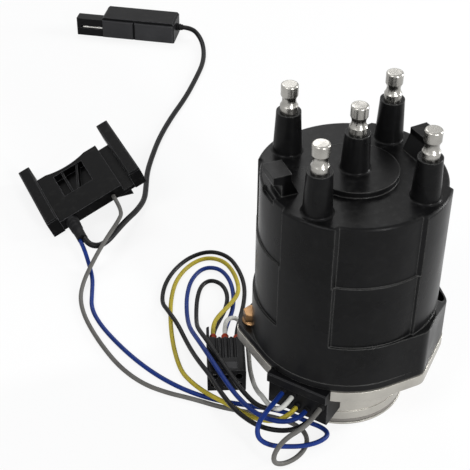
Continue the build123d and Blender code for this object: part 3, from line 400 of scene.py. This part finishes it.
def rubber(name, colour, dusty):
    """Dull rubber with a pale bloom; dusty is the most that the bloom covers."""
    finish, place = start_finish(name)
    bloom = between(grain(place, 0.004, 5.0), 0.45, 0.8, 0.0, dusty)
    set_shader(finish, Base_Color=tint(bloom, colour, bloom_grey), Roughness=0.58,
               Specular_IOR_Level=0.1,
               Normal=relief(grain(place, 0.0004, 3.0), 0.00003, rounded(place, 0.0003)))
    return finish


black_rubber = rubber("black_rubber", (0.004, 0.004, 0.0045, 1.0), 0.07)
dress("pilot_ring", rubber("worn_rubber", (0.17, 0.16, 0.145, 1.0), 0.6))
dress("shaft_seal", black_rubber)


# Bushings
# Sintered bronze sleeves, pressed in and soaked with oil. The upper one carries the
# shaft under the timer core, and the lower one stands over the shaft seal.
def sintered(name, colour):
    """Pressed metal powder with dark pores."""
    finish, place = start_finish(name)
    pores = between(grain(place, 0.0003, 4.0), 0.35, 0.6)
    set_shader(finish, Base_Color=tint(pores, shade(colour, 0.5), colour), Metallic=0.85,
               Roughness=0.42, Normal=relief(pores, 0.00003, rounded(place, 0.0003)))
    return finish


bronze = sintered("oiled_bronze", (0.5, 0.3, 0.12, 1.0))
for node in ("lower_bushing", "upper_bushing"):
    dress(node, bronze)


# Shaft, coupling, washers and timer core
# Steel turned and ground from bar; the coupling is hardened and blued by the quench.
def steel(name, colour, roughness, groove):
    """Bare or plated metal with fine grooves, and smears that dull it a little."""
    finish, place = start_finish(name)
    lathe = turned(place, groove)
    smear = between(grain(place, 0.006, 3.0), 0.35, 0.7)
    set_shader(finish, Base_Color=tint(smear, colour, shade(colour, 0.75)), Metallic=1.0,
               Roughness=between(smear, 0.0, 1.0, roughness, roughness + 0.14),
               Normal=relief(lathe, 0.000006, rounded(place, 0.0003)))
    return finish


bright_steel = steel("ground_steel", (0.56, 0.56, 0.57, 1.0), 0.24, 0.0003)
dark_steel = steel("quenched_steel", (0.2, 0.2, 0.22, 1.0), 0.36, 0.0005)
for node in ("shaft", "drive_pin", "lower_washer", "upper_washer", "pickup_clip", "module_screws"):
    dress(node, bright_steel)
for node in ("drive_coupling", "timer_core"):
    dress(node, dark_steel)


# Pickup
# A winding on a moulded bobbin, a ring magnet and a pressed pole ring, stacked on a
# plated steel plate round the bearing boss.
plated_steel = steel("plated_steel", (0.58, 0.55, 0.42, 1.0), 0.34, 0.0007)
dress("pickup_plate", plated_steel)
dress("pole_piece", plated_steel)

winding_pitch = 0.00022
# The dark colour is painted shade in the grooves between turns.
groove_shade_varnish = (0.12, 0.035, 0.012, 1.0)
varnish_light = (0.42, 0.14, 0.05, 1.0)


def varnished_winding(name):
    """Fine enamelled wire laid turn by turn, with ridges along the height and painted shade in the
    grooves.
    """
    finish, place = start_finish(name)
    level = around_shaft(place)[1]
    phase = level * (full_circle / winding_pitch) + grain(place, 0.002) * 1.4
    ridges = phase.maths("SINE", phase) * 0.5 + 0.5
    # Colour follows the ridges: painted shade in the grooves, the lighter varnish colour on the
    # crests.
    set_shader(finish, Base_Color=tint(ridges, groove_shade_varnish, varnish_light), Metallic=0.5,
               Roughness=0.33, Normal=relief(ridges, 0.00005))
    return finish


dress("pickup_winding", varnished_winding("enamelled_copper"))

dust_grey = (0.05, 0.049, 0.046, 1.0)
# The edge colour is handling wear and a painted edge highlight.
rubbed_and_highlit_grey = (0.12, 0.12, 0.125, 1.0)


def moulding(name, colour, grain_size, grain_depth, gloss, edge, sheen=0.12):
    """Moulded plastic: fine spark grain, edges lightened by handling wear and by a painted edge
    highlight, and light dust.
    """
    finish, place = start_finish(name)
    skin = grain(place, grain_size, 3.0)
    patch = between(grain(place, 0.015, 3.0), 0.3, 0.7)
    dust = between(grain(place, 0.0035, 5.0), 0.55, 0.8, 0.0, 0.18)
    base = tint(patch, shade(colour, 0.85), shade(colour, 1.2))
    base = tint(dust, base, dust_grey)
    # Edges are lightened towards that grey: handling wear and a painted edge highlight.
    set_shader(finish, Base_Color=tint(rubbed_and_highlit(place, 0.0004, 1.6) * edge, base, rubbed_and_highlit_grey),
               Roughness=between(patch, 0.0, 1.0, gloss, gloss + 0.12), Specular_IOR_Level=sheen,
               Normal=relief(skin, grain_depth, rounded(place, 0.0004)))
    return finish


bobbin_nylon = moulding("bobbin_nylon", (0.11, 0.085, 0.05, 1.0), 0.0006, 0.00002, 0.42, 0.4)
ferrite = moulding("ferrite", (0.022, 0.021, 0.022, 1.0), 0.0003, 0.00003, 0.5, 0.3)
dress("pickup_coil", bobbin_nylon)
dress("pickup_magnet", ferrite)


# Ignition module
# An electronic switch potted in black epoxy on the bowl's floor, with a row of flat
# tinned blades that go through the wall into the plug.
epoxy = moulding("potting_epoxy", (0.018, 0.018, 0.02, 1.0), 0.0009, 0.00003, 0.28, 0.2)
dress("ignition_module", epoxy)
tin = steel("tin_plate", (0.66, 0.65, 0.62, 1.0), 0.26, 0.0004)
for node in ("module_terminals", "inline_terminals", "tach_blade"):
    dress(node, tin)


# Module plug
# A moulded block that hooks under the cap's foot with a rail and closes the window in
# the side of the bowl. Its blades are crimped to the loom inside.
plug_nylon = moulding("plug_nylon", (0.004, 0.004, 0.0045, 1.0), 0.0004, 0.000025, 0.36, 1.4, 0.08)
dress("module_plug", plug_nylon)


# Wire boots
# A soft lipped sleeve round each wire where it goes into the module plug's face, moulded
# in black rubber and held by its own grip.
millimetre = 0.001
upright = 0.9
doubles_closer_than = 0.000002
crease_angle = radians(40)


def spun(name, finish, foot, along, profile, steps=40):
    """A turned piece: its half section is drawn by extruding one point, then spun.

    The profile is (distance along the axis, radius) in millimetres from the foot.
    """
    along = Vector(along).normalized()
    aside = Vector((0, 0, 1)) if abs(along.z) < upright else Vector((1, 0, 0))
    across = along.cross(aside).normalized()
    points = []
    for reach, radius in profile:
        outwards = across * (radius * millimetre)
        points.append(Vector(foot) + along * (reach * millimetre) + outwards)
    bpy.ops.object.select_all(action="DESELECT")
    bpy.ops.mesh.primitive_plane_add(size=millimetre, location=points[0])
    piece = bpy.context.object
    piece.name = name
    bpy.ops.object.transform_apply(location=True, rotation=True, scale=True)
    bpy.ops.object.mode_set(mode="EDIT")
    bpy.ops.mesh.select_all(action="SELECT")
    bpy.ops.mesh.merge(type="CENTER")
    for before, after in zip(points, points[1:]):
        bpy.ops.mesh.extrude_region_move(TRANSFORM_OT_translate={"value": after - before})
    bpy.ops.mesh.select_all(action="SELECT")
    bpy.ops.mesh.spin(steps=steps, angle=2 * pi, center=foot, axis=along)
    bpy.ops.mesh.select_all(action="SELECT")
    bpy.ops.mesh.remove_doubles(threshold=doubles_closer_than)
    bpy.ops.mesh.normals_make_consistent(inside=False)
    bpy.ops.object.mode_set(mode="OBJECT")
    bpy.ops.object.shade_smooth_by_angle(angle=crease_angle)
    piece.data.materials.append(finish)
    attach(piece, "distributor")
    return piece


def copied(piece, name, turn):
    """Another one of the same, moved by a matrix."""
    twin = piece.copy()
    twin.data = piece.data.copy()
    twin.data.transform(turn)
    twin.name = name
    bpy.context.scene.collection.objects.link(twin)
    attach(twin, "distributor")
    return twin


plug_heading = radians(-134.4)
plug_outwards = Vector((cos(plug_heading), sin(plug_heading), 0))
boot_profile = [
    (-0.5, 0), (-0.5, 1.5), (0, 1.65), (0.25, 1.65), (0.45, 1.42), (0.7, 1.38), (0.95, 1.5),
    (1.2, 1.46), (1.4, 1.25), (1.4, 0),
]
booted_routes = (inner_black_route, yellow_route, blue_route, outer_black_route, coil_blue_route,
                 white_route, coil_grey_route)
wire_entries = [Vector(route[0]) for route in booted_routes]
boot_reach = 0.0014
first_foot = wire_entries[0] - plug_outwards * boot_reach
first_boot = spun("wire_boot_1", black_rubber, first_foot, plug_outwards,
                  boot_profile)
boots = [first_boot]
for index, entry in enumerate(wire_entries[1:], start=2):
    shift = Matrix.Translation(entry - wire_entries[0])
    boots.append(copied(first_boot, "wire_boot_" + str(index), shift))
for boot in boots:
    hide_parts("wire_boots")


# Gasket
# A ring of pressed fibre paper between the cap's foot and the flange. It keeps spray out
# of the bowl.
def paper(name, colour):
    """Matt pressed fibres, darker where they lie deep."""
    finish, place = start_finish(name)
    fibres = grain(place, 0.0008, 6.0)
    proud = between(fibres, 0.35, 0.7)
    set_shader(finish, Base_Color=tint(proud, shade(colour, 0.7), shade(colour, 1.2)),
               Roughness=0.85, Normal=relief(fibres, 0.00005))
    return finish


dress("cap_gasket", paper("fibre_paper", (0.075, 0.07, 0.06, 1.0)))


# Cap
# Glossy black phenolic, moulded in one piece with four tower columns, a centre tower and
# two hooked clips for the leads.
# The pale roof colour is dust and a painted sky reflection.
roof_dust_and_sky_reflection = (0.05, 0.05, 0.049, 1.0)
# The pale edge colour is handling wear and a painted edge highlight.
worn_and_highlit_edge = (0.12, 0.12, 0.116, 1.0)


def phenolic(name, colour):
    """Deep gloss with faint flow marks, pale edges from wear and a painted edge highlight, and
    dust with a painted sky reflection, mostly on the roof.
    """
    finish, place = start_finish(name)
    flow = grain(place, 0.02, 3.0)
    peel = grain(place, 0.0016, 2.0)
    # Upward faces get more of the pale roof colour: dust, and a painted sky reflection on the
    # roof.
    upward = place.node("SeparateXYZ", {}, {0: place.node("NewGeometry", {}, {}, "Normal")}, 2)
    roof = between(upward, 0.6, 0.95)
    dust = between(grain(place, 0.0028, 6.0), 0.5, 0.78, 0.0, 0.22) * (roof * 0.8 + 0.2)
    base = tint(between(flow, 0.3, 0.7), shade(colour, 0.8), shade(colour, 1.3))
    base = tint(dust, base, roof_dust_and_sky_reflection)
    # Edges are lightened towards it: handling wear and a painted edge highlight.
    set_shader(finish, Base_Color=tint(rubbed_and_highlit(place, 0.0008, 2.2) * 0.65, base, worn_and_highlit_edge),
               Roughness=between(flow, 0.3, 0.7, 0.24, 0.36), Specular_IOR_Level=0.08,
               Normal=relief(peel, 0.000022, rounded(place, 0.0009)))
    return finish


cap_black = (0.004, 0.004, 0.0042, 1.0)
dress("cap", phenolic("gloss_phenolic", cap_black))


# Tower feet
# The towers run into the roof with a small moulded radius, as the tool is cut with a
# ball-nosed cutter. Each radius is part of the cap's own moulding.
roof_level = 0.1115
disc_level = 0.1141
tower_circle = 0.0304
foot_radius = 0.8
tower_at_foot = 5.85
foot_inside = tower_at_foot - 0.6
foot_sunk = -0.2
arc_steps = 6
foot_phenolic = moulding("foot_phenolic", cap_black, 0.0016, 0.000022, 0.28, 0.0, 0.08)
foot_profile = [(foot_sunk, foot_inside), (foot_sunk, tower_at_foot + foot_radius)]
for step in range(arc_steps + 1):
    angle = radians(90 * step / arc_steps)
    rise = foot_radius * (1 - cos(angle))
    foot_profile.append((rise, tower_at_foot + foot_radius * (1 - sin(angle))))
foot_profile += [(foot_radius, foot_inside), (foot_sunk, foot_inside)]
centre_foot = spun("tower_foot_centre", foot_phenolic, (0, 0, disc_level),
                   (0, 0, 1), foot_profile, steps=48)
for index, corner in enumerate(("front_left", "front_right", "rear_right", "rear_left")):
    heading = radians(-135 + 90 * index)
    shift = (tower_circle * cos(heading), tower_circle * sin(heading), roof_level - disc_level)
    copied(centre_foot, "tower_foot_" + corner, Matrix.Translation(shift))


# Cap screws
# Flanged hexagon screws in yellow zinc, driven through the cap's foot into the ears. The
# head is cold formed: a hexagon with a turned top edge on a coned washer face.
hexagon_radius = 0.00404
hexagon_height = 0.0042
washer_height = 0.001
rim_width = 0.0003
dish_width = 0.0008
dish_depth = 0.00025
edge_radius = 0.0002


def flange_screw(name, finish, x, y, seat, shank):
    """Head, washer face and shank are modelled apart and joined; shank is in millimetres."""
    face_profile = [
        (-shank, 0), (-shank, 2.1), (-shank + 0.5, 2.5), (0, 2.5), (0, 4.4), (0.45, 4.5),
        (0.75, 4.3), (1.3, 3.6), (1.3, 0),
    ]
    washer_face = spun(name + "_face", finish, (x, y, seat), (0, 0, 1), face_profile)
    bpy.ops.object.select_all(action="DESELECT")
    middle = seat + washer_height + hexagon_height / 2
    bpy.ops.mesh.primitive_cylinder_add(vertices=6, radius=hexagon_radius, depth=hexagon_height,
                                        location=(x, y, middle))
    hexagon = bpy.context.object
    hexagon.name = name
    bpy.ops.object.transform_apply(location=True, rotation=True, scale=True)
    mesh = hexagon.data
    for polygon in mesh.polygons:
        polygon.select = polygon.normal.z > upright
    bpy.ops.object.mode_set(mode="EDIT")
    bpy.ops.mesh.inset(thickness=rim_width, depth=rim_width)
    bpy.ops.mesh.inset(thickness=dish_width, depth=0)
    bpy.ops.mesh.inset(thickness=rim_width, depth=-dish_depth)
    bpy.ops.object.mode_set(mode="OBJECT")
    mesh.materials.append(finish)
    rim = hexagon.modifiers.new("rim", "BEVEL")
    rim.width = edge_radius
    rim.segments = 2
    bpy.ops.object.modifier_apply(modifier="rim")
    bpy.ops.object.select_all(action="DESELECT")
    washer_face.select_set(True)
    hexagon.select_set(True)
    bpy.context.view_layer.objects.active = hexagon
    bpy.ops.object.join()
    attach(hexagon, "distributor")
    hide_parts("cap_screws")


zinc = steel("yellow_zinc", (0.2, 0.115, 0.055, 1.0), 0.3, 0.0006)
# Each screw: its heading, distance from the shaft, seat level and shank in millimetres
cap_screws = {
    "left_cap_screw": (radians(165), 0.0386, 0.0333, 8.8),
    "right_cap_screw": (radians(-16), 0.0372, 0.037, 12.5),
}
for name, (heading, reach, seat, shank) in cap_screws.items():
    flange_screw(name, zinc, reach * cos(heading), reach * sin(heading), seat, shank)


# Lead posts
# Turned aluminium posts, moulded into the towers, with a waist that the lead's clip
# snaps round.
post_alloy = steel("bright_alloy", (0.38, 0.37, 0.345, 1.0), 0.2, 0.00045)
dress("centre_terminal", post_alloy)
for corner in ("front_left", "front_right", "rear_right", "rear_left"):
    dress("terminal_" + corner, post_alloy)


# Rotor and brush
# The rotor is moulded round a brass strip that carries the spark from the carbon brush
# to the towers. The brush is pressed on the strip by a small compression spring.
rotor_brown = (0.03, 0.018, 0.012, 1.0)
dress("rotor_arm", moulding("rotor_phenolic", rotor_brown, 0.0008, 0.00002, 0.34, 0.4))
dress("rotor_contact", steel("stamped_brass", (0.6, 0.42, 0.14, 1.0), 0.3, 0.0006))
dress("carbon_brush", moulding("carbon", (0.02, 0.02, 0.021, 1.0), 0.0003, 0.00003, 0.5, 0.3))


# Brush spring
# Four turns of spring wire, coiled cold and set between the brush and the centre post. On
# the real part it gets shorter as the brush is pushed up; here it is built at one length.
spring_low = 0.10345
spring_high = 0.1141
spring_wire = 0.0003
spring_circle = 0.0016
spring_turns = 4
points_per_turn = 20
coil_line = bpy.data.curves.new("spring_line", "CURVE")
coil_line.dimensions = "3D"
coil_line.bevel_depth = spring_wire
coil_line.bevel_resolution = 3
coil_line.use_fill_caps = True
coil_path = coil_line.splines.new("POLY")
last_point = spring_turns * points_per_turn
coil_path.points.add(last_point)
for index, point in enumerate(coil_path.points):
    turn = 2 * pi * index / points_per_turn
    rise = (spring_high - spring_low - 2 * spring_wire) * index / last_point
    level = spring_low + spring_wire + rise
    point.co = (spring_circle * cos(turn), spring_circle * sin(turn), level, 1.0)
spring = bpy.data.objects.new("coiled_spring", coil_line)
bpy.context.scene.collection.objects.link(spring)
bpy.ops.object.select_all(action="DESELECT")
spring.select_set(True)
bpy.context.view_layer.objects.active = spring
bpy.ops.object.convert(target="MESH")
spring = bpy.context.object
spring.data.materials.clear()
spring.data.materials.append(bright_steel)
bpy.ops.object.shade_smooth()
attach(spring, "distributor")
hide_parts("brush_spring")
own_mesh(spring)


# In-line plug
# A six-way loom connector with a fluted back, orange cable seals and a flush lock. One of
# its ways holds no wire.
dress("inline_plug", plug_nylon)
lock_grey = (0.03, 0.03, 0.032, 1.0)
dress("inline_lock", moulding("lock_nylon", lock_grey, 0.0005, 0.00002, 0.42, 1.0))


# Cable seals
# Soft orange plugs with three lips, pushed on each wire before its terminal is crimped,
# and one without a hole in the way that holds no wire.
orange_rubber = rubber("orange_rubber", (0.3, 0.035, 0.012, 1.0), 0.15)
inline_heading = radians(79)
inline_backwards = Vector((cos(inline_heading), sin(inline_heading), 0))
inline_sideways = Vector((-sin(inline_heading), cos(inline_heading), 0))
plug_front = Vector((-0.05, 0.0032, 0))
plug_depth = 0.022
row_levels = (0.0034, 0.0084)
column_pitch = 0.0054
# The way of each seal, as its column from the middle one and its row, and the blank's way
seal_ways = ((-1, 0), (0, 0), (1, 0), (0, 1), (1, 1))
blank_way = (-1, 1)
seal_profile = [
    (0, 0), (0, 1.5), (0.5, 1.7), (0.9, 1.75), (1.3, 1.5), (1.7, 1.45), (2.1, 1.7), (2.5, 1.75),
    (2.9, 1.5), (3.3, 1.45), (3.7, 1.66), (4.1, 1.7), (4.6, 1.45), (5, 1.2), (5, 0),
]
blank_profile = [
    (0, 0), (0, 1.6), (0.5, 1.75), (2.4, 1.75), (2.8, 1.5), (3.2, 1.7), (3.7, 1.6), (4, 1.2),
    (3.6, 0.9), (3.6, 0),
]


def way_foot(way):
    """Where the seal of this way starts, inside the plug's back."""
    column, row = way
    aside = inline_sideways * (column * column_pitch)
    return plug_front + inline_backwards * plug_depth + aside + Vector((0, 0, row_levels[row]))


first_seal = spun("cable_seal_1", orange_rubber, way_foot(seal_ways[0]),
                  inline_backwards, seal_profile, steps=32)
seals = [first_seal]
for index, way in enumerate(seal_ways[1:], start=2):
    shift = Matrix.Translation(way_foot(way) - way_foot(seal_ways[0]))
    seals.append(copied(first_seal, "cable_seal_" + str(index), shift))
for seal in seals:
    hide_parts("inline_seals")
blank = spun("blank_seal", orange_rubber, way_foot(blank_way), inline_backwards,
             blank_profile, steps=32)
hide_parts("inline_blank")


# Coil connector
# Two side bars joined by a deck with a ribbed window; the mating nose is underneath. The
# edges are pale from years of handling and from a painted edge highlight.
coil_black = (0.002, 0.002, 0.0022, 1.0)
dress("coil_plug", moulding("coil_nylon", coil_black, 0.0004, 0.00002, 0.3, 2.2, 0.05))


# Coil connector's boot
# A tapered sleeve of black rubber over the two wires that leave together, with rings that
# let it flex.
boot_heading = radians(11.2)
boot_direction = (sin(boot_heading), -cos(boot_heading), 0)
boot_foot = (-0.101925, 0.130398, 0.009187)
sleeve_profile = [
    (-1, 0), (-1, 3.2), (0, 3.4), (2.2, 3.4), (2.6, 3.05), (3.4, 3.0), (3.8, 3.25), (5.2, 3.2),
    (5.6, 2.9), (6.4, 2.86), (6.8, 3.1), (8.2, 3.05), (8.6, 2.78), (12, 2.68), (15.6, 2.62),
    (16.4, 2.72), (16.7, 2.5), (16.7, 0),
]
coil_sleeve = spun("coil_sleeve", black_rubber, boot_foot, boot_direction,
                   sleeve_profile)
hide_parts("coil_boot")


# Tachometer connector
# A single blade in a slotted tongue, with two clipped covers on the front of the body,
# which are a little greyer than it.
dress("tach_plug", plug_nylon)
cover_grey = (0.024, 0.024, 0.0255, 1.0)
dress("tach_covers", moulding("cover_nylon", cover_grey, 0.0005, 0.00003, 0.4, 1.6))


# Tachometer connector's gland
# A short rubber cone with two rings round the thick black wire, which keeps the bend
# away from the blade.
gland_heading = radians(-23.5)
gland_direction = (cos(gland_heading), sin(gland_heading), 0)
gland_foot = (-0.008304, 0.330601, 0.007)
gland_profile = [
    (-0.6, 0), (-0.6, 2.2), (0, 2.4), (0.7, 2.4), (1.0, 2.1), (1.4, 2.08), (1.7, 2.25),
    (2.2, 2.2), (2.5, 1.95), (3.6, 1.85), (4, 1.7), (4, 0),
]
tach_sleeve = spun("tach_sleeve", black_rubber, gland_foot, gland_direction,
                   gland_profile)
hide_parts("tach_gland")
